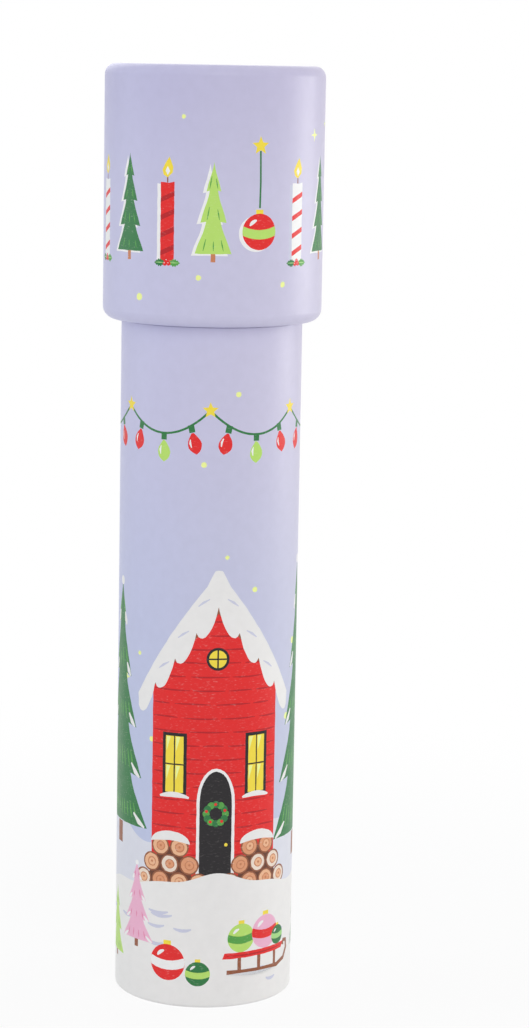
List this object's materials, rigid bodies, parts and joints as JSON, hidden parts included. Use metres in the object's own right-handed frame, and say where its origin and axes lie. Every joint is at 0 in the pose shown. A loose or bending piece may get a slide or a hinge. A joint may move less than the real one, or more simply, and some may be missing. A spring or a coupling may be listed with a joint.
{
  "type": "kaleidoscope",
  "caption": "Tinplate kaleidoscope: a printed tube with a peephole and mirrors inside, and a wider drum head that turns freely and tumbles loose coloured pieces behind a frosted window.",
  "frame": {"origin": "centre of the flat rim at the eyepiece end, on which the kaleidoscope stands", "axes": "+Z along the tube's axis towards the turning head, +Y to the back where the lock seams are, -Y towards the picture's camera"},
  "size_m": [0.05, 0.05, 0.215],
  "materials": {
    "printed_tin": "lithographed tinplate with a satin varnish",
    "bare_tin": "bright rolled tinplate",
    "clear_plastic": "clear polystyrene",
    "frosted_plastic": "frosted translucent plastic",
    "white_plastic": "moulded plastic",
    "grey_card": "uncoated greyboard",
    "paper_tape": "gummed paper tape",
    "mirror_strip": "silvered strip",
    "red_plastic": "translucent bead plastic",
    "blue_plastic": "translucent bead plastic",
    "yellow_plastic": "translucent bead plastic",
    "green_plastic": "translucent bead plastic",
    "pink_plastic": "translucent bead plastic",
    "violet_plastic": "translucent bead plastic",
    "pearl_plastic": "pearl plastic"
  },
  "bodies": {
    "tube": {"body_tube": "printed_tin", "eyepiece_disc": "bare_tin", "eyepiece_window": "clear_plastic", "lower_mirror_card": "grey_card", "upper_mirror_card": "grey_card", "mirror_back_strip": "mirror_strip", "mirror_left_strip": "mirror_strip", "mirror_right_strip": "mirror_strip", "lower_mirror_tape": "paper_tape", "upper_mirror_tape": "paper_tape", "tube_window": "clear_plastic", "end_collar": "white_plastic", "retaining_collar": "white_plastic"},
    "head": {"head_shell": "printed_tin", "head_liner": "grey_card", "object_case": "clear_plastic", "frosted_lid": "frosted_plastic"},
    "large_pieces": {"round_beads": "red_plastic", "gem_beads": "blue_plastic"},
    "medium_pieces": {"star_beads": "yellow_plastic", "bugle_beads": "green_plastic", "ring_beads": "pink_plastic"},
    "small_pieces": {"chip_pieces": "violet_plastic", "pearl_beads": "pearl_plastic"}
  },
  "joints": [
    {"name": "head_turn", "type": "hinge", "parent": "tube", "child": "head", "pos_m": [0, 0, 0.158], "axis": [0, 0, 1], "continuous": true},
    {"name": "large_pieces_drop", "type": "slide", "parent": "head", "child": "large_pieces", "axis": [0, 0, 1], "range_m": [0, 0.0045]},
    {"name": "medium_pieces_drop", "type": "slide", "parent": "head", "child": "medium_pieces", "axis": [0, 0, 1], "range_m": [0, 0.007]},
    {"name": "small_pieces_drop", "type": "slide", "parent": "head", "child": "small_pieces", "axis": [0, 0, 1], "range_m": [0, 0.0065]}
  ]
}
